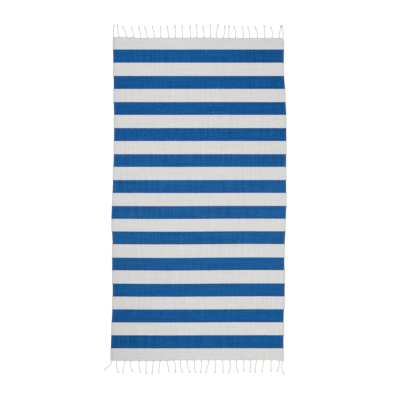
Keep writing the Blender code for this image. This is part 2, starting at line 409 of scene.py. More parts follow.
# %% [markdown]
# ## The cloth's two faces
#
# The thickness can't be seen from above. It is assumed to be 1.7 mm, as in the solid, which suits a flat
# woven towel, with a firm round selvedge along each side where the weft turns back. Two grids of points make
# it: an upper and a lower face that share the points of the rim, so the edge closes as a soft round lip. A
# plane with a Solidify modifier would give a square-cut edge instead. The rows crowd towards each colour
# change, where the sides step in and out.

# %% Rows and columns of points
LIP = 1.3 * MM  # the rim is rounded over this distance
SELVEDGE_INSETS = [0.0, 0.5 * MM, LIP, 3 * MM, 5 * MM, 8 * MM, 12 * MM, 16 * MM]
COLUMNS = 158  # between the selvedges
ROWS_IN_BAND = 11


def cloth_rows():
    """The y of each row of points, from the top end down, crowding towards each colour change."""
    rows = [CLOTH_END]
    for upper, lower in zip(band_edges, band_edges[1:]):
        for step in range(1, ROWS_IN_BAND + 1):
            share = (1 - math.cos(math.pi * step / ROWS_IN_BAND)) / 2
            rows.append(upper + (lower - upper) * share)
    return rows


def columns_of(y):
    """(x, inset from the nearer side) of each point of a row, from -X to +X."""
    left, right = -cloth_side(y, "left"), cloth_side(y, "right")
    places = [(left + inset, inset) for inset in SELVEDGE_INSETS]
    inner_left, inner_right = left + SELVEDGE_INSETS[-1], right - SELVEDGE_INSETS[-1]
    for index in range(1, COLUMNS):
        x = inner_left + (inner_right - inner_left) * index / COLUMNS
        places.append((x, min(x - left, right - x)))
    places += [(right - inset, inset) for inset in reversed(SELVEDGE_INSETS)]
    return places


print(len(cloth_rows()), "rows of", len(columns_of(0.0)), "points")

# %% [markdown]
# ## The cloth's place on the loom
#
# Each point also remembers its place on the loom: how far across it was between the selvedges, and how far
# along. The weave and the stripes are drawn in those coordinates, as a UV map in metres, so that the threads
# run with the cloth's edges, and the picks keep the slight bow that the stripes have in the photograph. A
# second map, `OFBake`, fills a unit square with the same layout, for when the finish is baked to an image.
# Both faces of the cloth share it, because they are striped alike, so neither wastes half of the image.

# %% Place the points
THICKNESS = 1.7 * MM
BEAD = 0.35 * MM  # how far the selvedge stands above the cloth
BEAD_MIDDLE = 3 * MM  # in from the side
BEAD_WIDTH = 3 * MM
LOOM_HALF_WIDTH = 0.4525  # half the width between the selvedges on the loom
THREADS_PAST_EDGE = 0.9 * MM  # the gathered threads cover this much, so the weave ends this much sooner
END_DRIFT = 30 * MM  # the rows take up the unevenness of the end over this distance

PICK_BOW = 1.3 * MM  # how far the picks bow, at most
PICK_BOW_LENGTH = 0.95  # of one whole wave, across the towel
PICK_BOW_START = 0.06
PICK_BOW_MIDDLE = -0.35  # the bow is deepest at this place along the towel
PICK_BOW_REACH = 0.35


def pick_bow(x, y):
    """How far towards +Y a pick has been dragged here."""
    strength = math.exp(-(((y - PICK_BOW_MIDDLE) / PICK_BOW_REACH) ** 2))
    return PICK_BOW * strength * math.sin(math.tau * (x - PICK_BOW_START) / PICK_BOW_LENGTH)


def lip_share(inset):
    """0 at the rim and 1 once the cloth has its full thickness."""
    return math.sqrt(1 - max(1 - inset / LIP, 0.0) ** 2)


def cloth_points():
    """The points of both faces, row by row, and the place of each on the loom."""
    upper, lower, loom = [], [], []
    for y in cloth_rows():
        end = nearer_end(y)
        to_end = CLOTH_END - abs(y)
        drift = 1 - soft_step(to_end / END_DRIFT)
        places = columns_of(y)
        left, right = places[0][0], places[-1][0]
        for x, inset in places:
            moved = (edge_out(end, x) - CLOTH_END - THREADS_PAST_EDGE) * drift
            place_y = y + end.sign * moved
            middle = lift(x, y) + THICKNESS / 2
            half = THICKNESS / 2 * lip_share(min(inset, to_end))
            bead = BEAD * math.exp(-(((inset - BEAD_MIDDLE) / BEAD_WIDTH) ** 2)) * lip_share(inset)
            upper.append((x, place_y, middle + half + bead))
            lower.append((x, place_y, middle - half))
            across = ((x - left) / (right - left) * 2 - 1) * LOOM_HALF_WIDTH
            loom.append((across, y - pick_bow(x, y)))
    return upper, lower, loom


print("the picks bow by up to", round(PICK_BOW / MM, 1), "mm")

# %% [markdown]
# ## Two faces, one mesh
#
# The lower face has the same quads as the upper one, turned over, with the points below. On the rim both use
# the same points, so the mesh is closed without any sewing up. The maps are written corner by corner, in the
# order of the quads, because that is how Blender keeps them.

# %% Build the cloth
import numpy as np


def cloth_mesh(name):
    """Both faces as one closed mesh, with the UV maps `weave` and `OFBake`."""
    upper, lower, loom = cloth_points()
    tall = len(cloth_rows())
    wide = len(upper) // tall
    rim = {
        row * wide + column
        for row in range(tall)
        for column in range(wide)
        if row in (0, tall - 1) or column in (0, wide - 1)
    }
    points = list(upper)
    below = {}
    for index, point in enumerate(lower):
        below[index] = index if index in rim else len(points)
        if index not in rim:
            points.append(point)
    firsts = [row * wide + column for row in range(tall - 1) for column in range(wide - 1)]
    quads = [(first, first + wide, first + wide + 1, first + 1) for first in firsts]
    faces = quads + [tuple(below[corner] for corner in reversed(quad)) for quad in quads]
    corners = [corner for quad in quads for corner in quad]
    corners += [corner for quad in quads for corner in reversed(quad)]
    mesh = bpy.data.meshes.new(name)
    mesh.from_pydata(points, [], faces)
    places = np.array([loom[corner] for corner in corners], np.float32)
    weave = mesh.uv_layers.new(name="weave")
    weave.uv.foreach_set("vector", places.ravel())
    bake = mesh.uv_layers.new(name="OFBake")
    unit_places = 0.5 + places / (2 * np.array((LOOM_HALF_WIDTH, CLOTH_END + PICK_BOW), np.float32))
    bake.uv.foreach_set("vector", unit_places.ravel())
    mesh.shade_smooth()
    return mesh


cloth = placed("woven_cloth", cloth_mesh("woven_cloth"))
print("cloth", len(cloth.data.vertices), "points,", 2 * len(cloth.data.polygons), "triangles")

# %% [markdown]
# ## Shader maths in plain Python
#
# A woven pattern is arithmetic: divide by the thread pitch, keep the whole part as the thread's number and
# the rest as the place on the thread. In the shader editor each of those steps is a Math node. The class
# below wraps a node's output, so that `across / WARP_PITCH` adds the node and gives its output back. Every
# other kind of node comes from its one method `node`.


# %% A wire that can be calculated with
class Wire:
    """One output of a shader node. Arithmetic on it adds Math nodes to the same tree."""

    def __init__(self, socket):
        self.socket = socket
        self.tree = socket.id_data

    @staticmethod
    def node(tree, kind, settings, inputs, output=0):
        """Add a node: first its settings, then the value or the link of each of its inputs."""
        made = tree.nodes.new(kind)
        for name, value in settings.items():
            setattr(made, name, value)
        for name, value in inputs.items():
            if isinstance(value, Wire):
                tree.links.new(value.socket, made.inputs[name])
            else:
                made.inputs[name].default_value = value
        return Wire(made.outputs[output])

    def output(self, name):
        """Another output of the same node."""
        return Wire(self.socket.node.outputs[name])

    def maths(self, operation, *values):
        return Wire.node(self.tree, "ShaderNodeMath", {"operation": operation}, dict(enumerate(values)))

    def floor(self):
        return self.maths("FLOOR", self)

    def size(self):
        """Its value without the sign."""
        return self.maths("ABSOLUTE", self)

    def clamped(self):
        """Held between 0 and 1."""
        return self.maths("MINIMUM", self.maths("MAXIMUM", self, 0.0), 1.0)

    def __add__(self, other):
        return self.maths("ADD", self, other)

    def __radd__(self, other):
        return self.maths("ADD", other, self)

    def __sub__(self, other):
        return self.maths("SUBTRACT", self, other)

    def __rsub__(self, other):
        return self.maths("SUBTRACT", other, self)

    def __mul__(self, other):
        return self.maths("MULTIPLY", self, other)

    def __rmul__(self, other):
        return self.maths("MULTIPLY", other, self)

    def __truediv__(self, other):
        return self.maths("DIVIDE", self, other)

    def __mod__(self, other):
        return self.maths("FLOORED_MODULO", self, other)

    def __pow__(self, other):
        return self.maths("POWER", self, other)

    def __gt__(self, other):
        return self.maths("GREATER_THAN", self, other)

    def __lt__(self, other):
        return self.maths("LESS_THAN", self, other)


print("wires can be added, multiplied, compared and rounded down")

# %% [markdown]
# ## Noise, lots and mixes
#
# A few kinds of node turn up again and again: smooth noise, a number drawn for each thread, a mix of two
# colours, and a change of brightness. Each has a function here, so that a finish reads as one formula.


# %% Draw noise and mix colours
def pair_of(x, y):
    """Two wires as one vector."""
    return Wire.node(x.tree, "ShaderNodeCombineXYZ", {}, {"X": x, "Y": y})


def cloudy(x, y):
    """Smooth noise from 0 to 1 that changes over about one unit of x and of y.

    Another number added to x or y gives another noise of the same kind.
    """
    settings = {"noise_dimensions": "2D"}
    inputs = {"Vector": pair_of(x, y), "Scale": 1.0, "Detail": 1.0, "Roughness": 0.5}
    return Wire.node(x.tree, "ShaderNodeTexNoise", settings, inputs)


def drawn_lot(x, y):
    """A number from 0 to 1 for each pair of whole numbers."""
    return Wire.node(x.tree, "ShaderNodeTexWhiteNoise", {"noise_dimensions": "2D"}, {"Vector": pair_of(x, y)})


def mixed(share, plain, other):
    """The colour `plain` where share is 0, and `other` where it is 1."""
    inputs = {0: share, 6: plain, 7: other}
    return Wire.node(share.tree, "ShaderNodeMix", {"data_type": "RGBA"}, inputs, output=2)


def brightened(colour, factor):
    """A colour made brighter or darker."""
    inputs = {0: colour, "Scale": factor}
    return Wire.node(colour.tree, "ShaderNodeVectorMath", {"operation": "SCALE"}, inputs)


print("noise, lots and mixes ready")

# %% [markdown]
# ## What both finishes share
#
# The cloth and the fringe are both dull cotton. Each finish could be wired up on its own, but then they would
# drift apart. One function ends both alike: a colour, a roughness and a relief go into a shader that hardly
# shines.

# %% Start and end a finish
BUMP_STRENGTH = 0.6
COTTON_GLOSS = 0.05  # cotton hardly shines


def new_finish(name):
    """A new material, with its tree and its Principled shader."""
    material = bpy.data.materials.new(name)
    material.use_nodes = True
    return material, material.node_tree, material.node_tree.nodes["Principled BSDF"]


def wire_cotton(shader, colour, rough, height, depth):
    """Give a shader its colour, its roughness, and a relief of so many metres."""
    inputs = {"Height": height, "Distance": depth, "Strength": BUMP_STRENGTH}
    relief = Wire.node(height.tree, "ShaderNodeBump", {}, inputs)
    for wire, socket in ((colour, "Base Color"), (rough, "Roughness"), (relief, "Normal")):
        wire.tree.links.new(wire.socket, shader.inputs[socket])
    shader.inputs["Specular IOR Level"].default_value = COTTON_GLOSS


print("cotton's relief at", BUMP_STRENGTH, "of its strength, gloss", COTTON_GLOSS)

# %% [markdown]
# ## The striped weave
#
# One thread is less than half a pixel of the photograph, so the weave can't be read off it. What it does
# show is solid blue next to solid off-white, with the change running across the towel. Cloth striped in the
# weft like that is weft-faced: the crosswise picks are beaten so tight that they hide the warp. The thread
# pitches are assumed. Each pick shows as a row of rice-grain bumps, one over every second warp thread, and
# the next row sits between them like bricks. Each warp has a number, and each bump of the weft has a pick.

# %% Number the threads
WARP_PITCH = 2.0 * MM
PICK_PITCH = 1.25 * MM  # from one bump to the next above it, two picks later
WANDER = 0.3 * MM  # how far a thread strays from its straight line
WANDER_LENGTH = 30 * MM  # it strays in bends about this long
WANDER_WIDTH = 9 * MM  # and takes its neighbours along over about this much

cotton, tree, shader = new_finish("striped_cotton_weave")
loom_place = Wire.node(tree, "ShaderNodeUVMap", {"uv_map": "weave"}, {})
across = Wire.node(tree, "ShaderNodeSeparateXYZ", {}, {0: loom_place})
along = across.output("Y")
warp_wander = cloudy(across / WANDER_WIDTH, along / WANDER_LENGTH) - 0.5
pick_wander = cloudy(across / WANDER_LENGTH + 20.0, along / WANDER_WIDTH) - 0.5
wavy_across = across + 2.0 * WANDER * warp_wander
wavy_along = along + 2.0 * WANDER * pick_wander

warp = (wavy_across / WARP_PITCH).floor()
odd_warp = warp % 2.0
bump_row = wavy_along / PICK_PITCH + 0.5 * odd_warp
bump_number = bump_row.floor()
pick = 2.0 * bump_number - odd_warp
print("nodes for the threads", len(tree.nodes))

# %% [markdown]
# ## The bumps of the weft
#
# Some 600,000 bumps are far too many to model, so they are worked out in the material: they drive the
# colour a little, the roughness, and a Bump node for the relief. The colour gets painted shade at the foot
# of each bump and painted light on its top. The same formula also runs on plain numbers, which gives the
# mean height of a bump. The painted shade is centred on that mean, so that a finer or a deeper relief
# doesn't change how light the towel looks from far away. The relief itself is assumed.

# %% Raise the bumps
NARROWEST = 0.5  # of its width is left of a pick where it dives under a warp thread
FIBRE_SLANT = (0.55 * MM, 0.4 * MM)  # a ridge of twisted fibres comes back after so much across, and along
MEAN_ARCH = 2 / 3  # the mean of `arched` over a whole share


def arched(share):
    """0 where the share is 0 or 1, and 1 halfway."""
    return 4.0 * share * (1.0 - share)


def grain_height(over_warp, over_pick):
    """The height of a bump, from 0 to 1, at this share of its length and of its width."""
    arch = arched(over_warp)
    from_middle = (2.0 * over_pick - 1.0) / (NARROWEST + (1.0 - NARROWEST) * arch)
    round_top = 1.0 - from_middle * from_middle
    round_top = round_top.clamped() if isinstance(round_top, Wire) else round_top.clip(0.0, 1.0)
    return (arch * round_top) ** 0.5


grain = grain_height(wavy_across / WARP_PITCH - warp, bump_row - bump_number)
shares = np.linspace(0, 1, 101)
mean_grain = float(grain_height(*np.meshgrid(shares, shares)).mean())
fibre = arched((wavy_across / FIBRE_SLANT[0] + wavy_along / FIBRE_SLANT[1]) % 1.0)
print("a bump's mean height", round(mean_grain, 3), "of its top")

# %% [markdown]
# ## Blue picks and off-white picks
#
# A pick is blue or off-white from side to side, so each stripe begins and ends on a whole pick, with a
# toothed edge. A plain line across the cloth would cut through the bumps. Colour changes are counted instead:
# a pick is blue where an odd number of them lie above its middle.

# %% Dye whole picks
pick_middle = (bump_number + 0.5 - 0.5 * odd_warp) * PICK_PITCH
changes_above = 0.0
for change in colour_changes:
    changes_above = changes_above + (pick_middle < change)
blue = changes_above % 2.0
print("weave nodes so far", len(tree.nodes))

# %% [markdown]
# ## Light and dark in the yarn
#
# In the photograph the blue varies by a few per cent from place to place, more from left to right than from
# pick to pick. The off-white varies less. The amounts below follow those measured spreads, and how light one
# bump is against the next is assumed. Noise that is stretched along one thread direction gives streaks, which
# plain round noise would not.

# %% Mottle the yarn
STREAK_WIDTH = 6 * MM  # of the streaks along the warp
STREAK_LENGTH = 160 * MM
PICK_STREAK_WIDTH = 9 * MM
PICK_STREAK_LENGTH = 220 * MM
CLOUD_SIZE = (8 * MM, 5.5 * MM)  # across, and along
YARN_LOT_LENGTH = 45 * MM  # a pick keeps a tone of its own over this length
STREAK_SHADE = 0.6  # how strongly each of the four shades the blue
PICK_STREAK_SHADE = 0.5
CLOUD_SHADE = 0.8
YARN_LOT_SHADE = 0.1
WHITE_MOTTLE = 0.22  # the off-white's mottle, as a share of the blue's
# painted shade: darker at the foot of each bump and between the fibre ridges, lighter on their tops
BUMP_FOOT_PAINTED_SHADE = 0.3  # from the foot of a bump to its top
FIBRE_GROOVE_PAINTED_SHADE = 0.1
BUMP_SHADE = 0.08  # from the darkest bump to the lightest

side_streaks = cloudy(across / STREAK_WIDTH, along / STREAK_LENGTH) - 0.5
pick_streaks = cloudy(across / PICK_STREAK_LENGTH + 40.0, along / PICK_STREAK_WIDTH) - 0.5
clouds = cloudy(across / CLOUD_SIZE[0], along / CLOUD_SIZE[1] + 70.0) - 0.5
yarn_lot = drawn_lot(pick, (across / YARN_LOT_LENGTH).floor()) - 0.5
bump_lot = drawn_lot(warp, pick)
streaks = STREAK_SHADE * side_streaks + PICK_STREAK_SHADE * pick_streaks
mottle = streaks + CLOUD_SHADE * clouds + YARN_LOT_SHADE * yarn_lot
shade = 1.0 + mottle * (WHITE_MOTTLE + (1.0 - WHITE_MOTTLE) * blue)
# painted shade at the foot of each bump and between the fibre ridges
shade = shade * (1.0 + BUMP_FOOT_PAINTED_SHADE * (grain - mean_grain) + FIBRE_GROOVE_PAINTED_SHADE * (fibre - MEAN_ARCH))
shade = shade * (1.0 + BUMP_SHADE * (bump_lot - 0.5))
print("weave nodes with the mottle", len(tree.nodes))

# %% [markdown]
# ## Flecks
#
# The blue also has a few small light and dark flecks. They are drawn as thick and thin places in the yarn: an
# oval patch in some cells of a coarse grid, broken up bump by bump, because a bump is dyed as a whole.

# %% Scatter the flecks
FLECK_CELL = (12 * MM, 8 * MM)  # a fleck may sit in the middle of each such cell
CELL_TO_FLECK = (4.0, 3.0)  # a cell is so many times as wide, and as deep, as half a fleck
FLECK_SHARE = 0.04  # in so many of the cells there is one
DARK_FLECK = 0.35  # the middle of a dark fleck is darker by this much

cell_x = across / FLECK_CELL[0]
cell_y = along / FLECK_CELL[1]
from_middle_x = (cell_x - cell_x.floor() - 0.5) * CELL_TO_FLECK[0]
from_middle_y = (cell_y - cell_y.floor() - 0.5) * CELL_TO_FLECK[1]
fleck_shape = (1.0 - from_middle_x * from_middle_x - from_middle_y * from_middle_y).clamped()
fleck_lot = drawn_lot(cell_x.floor(), cell_y.floor())
broken_fleck = (fleck_shape * (0.5 + bump_lot)).clamped()
light_fleck = broken_fleck * (fleck_lot > 1.0 - FLECK_SHARE / 2)
dark_fleck = broken_fleck * (fleck_lot < FLECK_SHARE / 2)
shade = shade * (1.0 - DARK_FLECK * dark_fleck * blue)
print("weave nodes with the flecks", len(tree.nodes))

# %% [markdown]
# ## Darker sides, ends and corners
#
# The off-white is darker along both selvedges and at both ends, most of all at the two left corners. Both
# colours darken gradually towards the left side, and towards the top right and the bottom left corner. The
# amounts follow the measured means. Where the light stood isn't known. The extra darkness of the left
# selvedge and its corners, the darkening towards the left side and that towards the two corners are painted
# shade in the cloth's colour.

# %% Darken the sides, the ends and the corners, partly with painted shade
SELVEDGE_WIDTH = 16 * MM  # the off-white is darker over this width in the photograph
SELVEDGE_SOFTNESS = 7 * MM
SELVEDGE_DARKER = 0.04
# painted shade: the -X selvedge is darker still, and most of all at its two corners
LEFT_SELVEDGE_PAINTED_SHADE = 0.025  # added to that on the -X side
LEFT_CORNER_PAINTED_SHADE = 0.045  # and so much more at its two corners
# painted shade: both colours darken gradually towards the -X side
LEFT_PAINTED_SHADE = 0.025  # the off-white, where it meets the -X selvedge
BLUE_LEFT_PAINTED_SHADE = 0.05
LEFT_REACH = 0.2  # metres, from that selvedge inwards
END_DARKER = 0.015  # both end bands are darker by this much
END_TONE_START = 0.74  # from this far along towards each end
END_TONE_LENGTH = 0.07
# painted shade: both colours darker towards the top right and the bottom left corner
LOWER_LEFT_PAINTED_SHADE = 0.09  # the off-white, at the very corner
UPPER_RIGHT_PAINTED_SHADE = 0.05
BLUE_CORNER_PAINTED_SHADE = 0.15  # the blue, at both of those corners

on_left = across < 0.0
inset = LOOM_HALF_WIDTH - across.size()
selvedge = 1.0 - ((inset - (SELVEDGE_WIDTH - SELVEDGE_SOFTNESS)) / SELVEDGE_SOFTNESS).clamped()
end_tone = ((along.size() - END_TONE_START) / END_TONE_LENGTH).clamped()
# painted shade on the -X selvedge, strongest at its corners
painted_left_selvedge_shade = (LEFT_SELVEDGE_PAINTED_SHADE + LEFT_CORNER_PAINTED_SHADE * end_tone) * on_left
selvedge_and_painted_shade = selvedge * (SELVEDGE_DARKER + painted_left_selvedge_shade)
shade = shade * (1.0 - (selvedge_and_painted_shade + END_DARKER * end_tone) * (1.0 - blue))
# painted shade, growing towards the -X side
leftward = ((LEFT_REACH - LOOM_HALF_WIDTH - across) / LEFT_REACH).clamped()
painted_left_shade = LEFT_PAINTED_SHADE + (BLUE_LEFT_PAINTED_SHADE - LEFT_PAINTED_SHADE) * blue
shade = shade * (1.0 - leftward * leftward * painted_left_shade)
# painted shade towards the top right and the bottom left corner
towards_corner = (across * along / (LOOM_HALF_WIDTH * CLOTH_END)).clamped()
painted_white_corner_shade = UPPER_RIGHT_PAINTED_SHADE + (LOWER_LEFT_PAINTED_SHADE - UPPER_RIGHT_PAINTED_SHADE) * on_left
painted_corner_shade = painted_white_corner_shade * (1.0 - blue) + BLUE_CORNER_PAINTED_SHADE * blue
shade = shade * (1.0 - towards_corner * painted_corner_shade)
print("weave nodes with the tones", len(tree.nodes))

# %% [markdown]
# ## The two colours
#
# Both colours were set so that, under this light, the picture's mean off-white and mean blue are those of the
# photograph. The blue fades to a lighter one a little below the towel's middle, and why isn't known. The same
# blue made brighter there would keep its hue, which the photograph's doesn't quite, so two blues are mixed.

# %% Colour the cotton
OFF_WHITE_COTTON = (0.667, 0.662, 0.648, 1.0)
BLUE_COTTON = (0.0074, 0.0901, 0.2799, 1.0)
FADED_BLUE = (0.0124, 0.1013, 0.2910, 1.0)
FADED_MIDDLE = -0.14  # the blue is palest at this place along the towel
FADED_REACH = 0.50  # and has its full depth again this far from there
PALE_FLECK = (0.08, 0.25, 0.55, 1.0)
LIGHT_FLECK = 0.7  # so much of that is in the middle of a light fleck
SELVEDGE_PALER = 0.012  # so much off-white shows in the blue at the selvedge
ROUGHNESS = 0.93  # between the bumps
BUMP_SMOOTHER = 0.08  # and so much less on their tops
FIBRE_HEIGHT = 0.12  # of a bump's height
RELIEF = 0.2 * MM

from_fade = (along - FADED_MIDDLE) / FADED_REACH
faded = (1.0 - from_fade * from_fade).clamped()
dyed = mixed(LIGHT_FLECK * light_fleck, mixed(faded, BLUE_COTTON, FADED_BLUE), PALE_FLECK)
dyed_share = blue * (1.0 - SELVEDGE_PALER * selvedge)
cotton_colour = brightened(mixed(dyed_share, OFF_WHITE_COTTON, dyed), shade)
cotton_height = grain + FIBRE_HEIGHT * fibre
wire_cotton(shader, cotton_colour, ROUGHNESS - BUMP_SMOOTHER * grain, cotton_height, RELIEF)
cloth.data.materials.append(cotton)
print("weave nodes", len(tree.nodes))

# %% [markdown]
# ## Round threads
#
# Everything in the fringe is a thread: the loose warp, the plies of a strand, the frayed tail. A curve object
# with a bevel would draw one, but nearly 1,800 of them would be slow to handle. Here each thread is a row of
# rings, computed with arrays.


# %% Rings along a path
def frames_along(path):
    """Two directions across the path at each of its points, carried along without twisting."""
    tangents = np.gradient(path, axis=0)
    tangents /= np.linalg.norm(tangents, axis=1)[:, None]
    first = np.cross(tangents[0], (0.0, 0.0, 1.0))
    normals = [first / np.linalg.norm(first)]
    for tangent in tangents[1:]:
        carried = normals[-1] - tangent * np.dot(normals[-1], tangent)
        normals.append(carried / np.linalg.norm(carried))
    normals = np.array(normals)
    return normals, np.cross(tangents, normals)


def thread_rings(path, radii, sides):
    """The rings of a round thread along a path, as an array of rings, sides and coordinates."""
    normals, binormals = frames_along(path)
    angles = np.arange(sides) * math.tau / sides
    across_ring = normals[:, None] * np.cos(angles)[:, None] + binormals[:, None] * np.sin(angles)[:, None]
    return path[:, None] + across_ring * np.asarray(radii)[:, None, None]


def lengths_along(path):
    """How far along the path each of its points lies."""
    steps = np.linalg.norm(np.diff(path, axis=0), axis=1)
    return np.concatenate(([0.0], np.cumsum(steps)))


print("rings follow a path without twisting")

# %% [markdown]
# ## Threads in one skein
#
# All the threads of one fringe end up in a single mesh. Each gets a strip of its own in the map `OFBake`,
# laid side by side on shelves, because thin tubes unwrapped by a general tool crowd each other. The map
# `yarn` holds the place round and along the thread, for its twist.

# %% A skein of threads
STRIP_GAP = 0.4 * MM
SPARE_ROOM = 1.1  # the square's side, against that of one which the strips would fill exactly


def shelf_places(strips):
    """A place for each (length, girth) strip on shelves that fill a square, and that square's side."""
    area = sum((length + STRIP_GAP) * (girth + STRIP_GAP) for length, girth in strips)
    side = SPARE_ROOM * math.sqrt(area)
    places = {}
    x = y = shelf = 0.0
    for number in sorted(range(len(strips)), key=lambda n: strips[n][1]):
        length, girth = strips[number]
        if x + length > side:
            x, y, shelf = 0.0, y + shelf + STRIP_GAP, 0.0
        places[number] = (x, y)
        x += length + STRIP_GAP
        shelf = max(shelf, girth)
    return places, max(side, y + shelf)


def strip_of(rings):
    """The length and the girth of a thread."""
    girths = np.linalg.norm(rings - np.roll(rings, 1, axis=1), axis=2).sum(axis=1)
    return float(lengths_along(rings.mean(axis=1))[-1]), float(girths.max())


def by_corner(loops):
    """Rows of four corners each, from four arrays for each thread."""
    return np.concatenate([np.stack(loops[i : i + 4], axis=1) for i in range(0, len(loops), 4)])


class Skein:
    """Threads that become one mesh."""

    def __init__(self):
        self.threads = []

    def add(self, rings):
        self.threads.append(rings)

    def mesh(self, name):
        """All the threads as one mesh, with the UV maps `OFBake` and `yarn`."""
        strips = [strip_of(rings) for rings in self.threads]
        places, side = shelf_places(strips)
        faces, yarn, bake, start = [], [], [], 0
        for number, rings in enumerate(self.threads):
            count, sides = rings.shape[:2]
            girth = strips[number][1]
            along_thread = lengths_along(rings.mean(axis=1))
            ring, corner = np.meshgrid(np.arange(count - 1), np.arange(sides), indexing="ij")
            ring, corner = ring.ravel(), corner.ravel()
            for ring_step, corner_step in ((0, 0), (0, 1), (1, 1), (1, 0)):
                faces.append(start + (ring + ring_step) * sides + (corner + corner_step) % sides)
                around = (corner + corner_step) / sides
                yarn.append(np.stack((around, along_thread[ring + ring_step]), axis=1))
                x = (places[number][0] + along_thread[ring + ring_step]) / side
                y = (places[number][1] + around * girth) / side
                bake.append(np.stack((x, y), axis=1))
            start += count * sides
        points = np.concatenate([rings.reshape(-1, 3) for rings in self.threads])
        made = bpy.data.meshes.new(name)
        made.from_pydata(points.tolist(), [], by_corner(faces).tolist())
        for map_name, corners in (("OFBake", bake), ("yarn", yarn)):
            layer = made.uv_layers.new(name=map_name)
            layer.uv.foreach_set("vector", by_corner(corners).reshape(-1).astype(np.float32))
        made.shade_smooth()
        return made


print("strips of the map lie", round(STRIP_GAP / MM, 1), "mm apart")

# %% [markdown]
# ## A strand's path and its knot
#
# A strand runs from the cloth to its knot, and is tied there in an overhand knot. A strand is under one pixel
# wide in the photograph, so the path of the knot is assumed. Its place is measured, and the widths of the
# strand and of the knot come from how dark the pixels are.
#
# A cubic, a quintic and a quartic in the same parameter draw an overhand knot with both ends running out, so
# the strand really goes through its own loop. A ball would do from far away, but not from the side.

# %% Tie the knot
PLY_RADIUS = 1.05 * MM
PLY_OFFSET = 1.0 * MM  # from the strand's middle to a ply's
SQUASH = 0.85  # a strand lies a little flattened
AXIS_HEIGHT = (PLY_RADIUS + PLY_OFFSET) * SQUASH
PATH_STEP = 1 * MM
RING_STEP = 0.55 * MM
FEWEST_RINGS = 4
SMOOTHINGS = 2
KNOT_PLACE = -0.6 * MM  # the middle of the knot, past the strand's reach
KNOT_SCALE = Vector((1.5, 0.33, 0.85)) * MM  # sideways, along and up, for one unit of the polynomials
KNOT_HEIGHT = 3.3 * MM
KNOT_REACH = 1.97  # the parameter runs this far both ways
KNOT_POINTS = 90
KNOT_AIM = 3 * MM  # the knot points the way that the strand runs over so much before it
KNOT_APPROACH = 7 * MM  # from so near its middle on, the path is the knot's own
PLIES_END = 6.5 * MM  # past the knot's middle
PLIES_END_HEIGHT = 0.8 * AXIS_HEIGHT


def knot_point(t):
    """A point of the overhand knot: sideways, along the strand and up from the floor."""
    sideways = (t**3 - 3 * t) * KNOT_SCALE.x
    outward = (t**5 - 10 * t) * KNOT_SCALE.y
    height = KNOT_HEIGHT - (t**4 - 4 * t**2 + 2) * KNOT_SCALE.z
    return sideways, outward, height


def evenly_along(points, step):
    """The same path with its points an equal step apart."""
    points = np.array(points)
    lengths = lengths_along(points)
    wanted = np.linspace(0.0, lengths[-1], max(int(lengths[-1] / step), FEWEST_RINGS))
    return np.stack([np.interp(wanted, lengths, points[:, axis]) for axis in range(3)], axis=1)


def gather_of(strand):
    """How far from the cloth the warp threads have come together, in metres."""
    return GATHER_SCALE * (strand.gather or UNSEEN_GATHER) * MM


def strand_path(end, index):
    """The middle of the two plies, from where the warp has gathered to just past the knot."""
    strand = end.strands[index]
    knot_out = strand.reach * MM + KNOT_PLACE
    knot = strand_middle(end, index, knot_out)
    ahead = (knot - strand_middle(end, index, knot_out - KNOT_AIM)).normalized()
    aside = Vector((end.sign * ahead.y, -end.sign * ahead.x, 0.0))
    points = []
    for out in np.arange(gather_of(strand), knot_out, PATH_STEP):
        middle = strand_middle(end, index, out)
        if (knot - middle).length > KNOT_APPROACH:
            points.append((middle.x, middle.y, AXIS_HEIGHT))
    for t in np.linspace(-KNOT_REACH, KNOT_REACH, KNOT_POINTS):
        sideways, outward, height = knot_point(t)
        place = knot + aside * sideways + ahead * outward
        points.append((place.x, place.y, height))
    last = strand_middle(end, index, knot_out + PLIES_END)
    points.append((last.x, last.y, PLIES_END_HEIGHT))
    smooth = evenly_along(points, RING_STEP)
    for _ in range(SMOOTHINGS):
        smooth[1:-1] = (smooth[:-2] + 2 * smooth[1:-1] + smooth[2:]) / 4
    return smooth, knot


first_path, _ = strand_path(ENDS[0], 0)
print("the first strand is", round(lengths_along(first_path)[-1] / MM), "mm of yarn with its knot")

# %% [markdown]
# ## Two twisted plies
#
# Each strand is split into two bundles, which are twisted round each other and drawn tight in the knot. The
# two plies and their lay are assumed, because the photograph doesn't show them. A plain tube with a twisted
# relief would do from far away, but its outline would be smooth from close by.

# %% Twist the plies
KNOTTED_PLY_RADIUS = 1.15 * MM  # the plies are pulled together in the knot, and swell a little
KNOTTED_PLY_OFFSET = 0.9 * MM
KNOTTED_REACH = 4 * MM  # so near the knot's middle, the plies are tight
KNOTTED_FADE = 3 * MM  # over so much more, they ease again
LAY = 7 * MM  # one full turn of the two plies
PLY_SIDES = 8
PLY_TIP = 0.1 * MM  # the radius that closes a ply's end


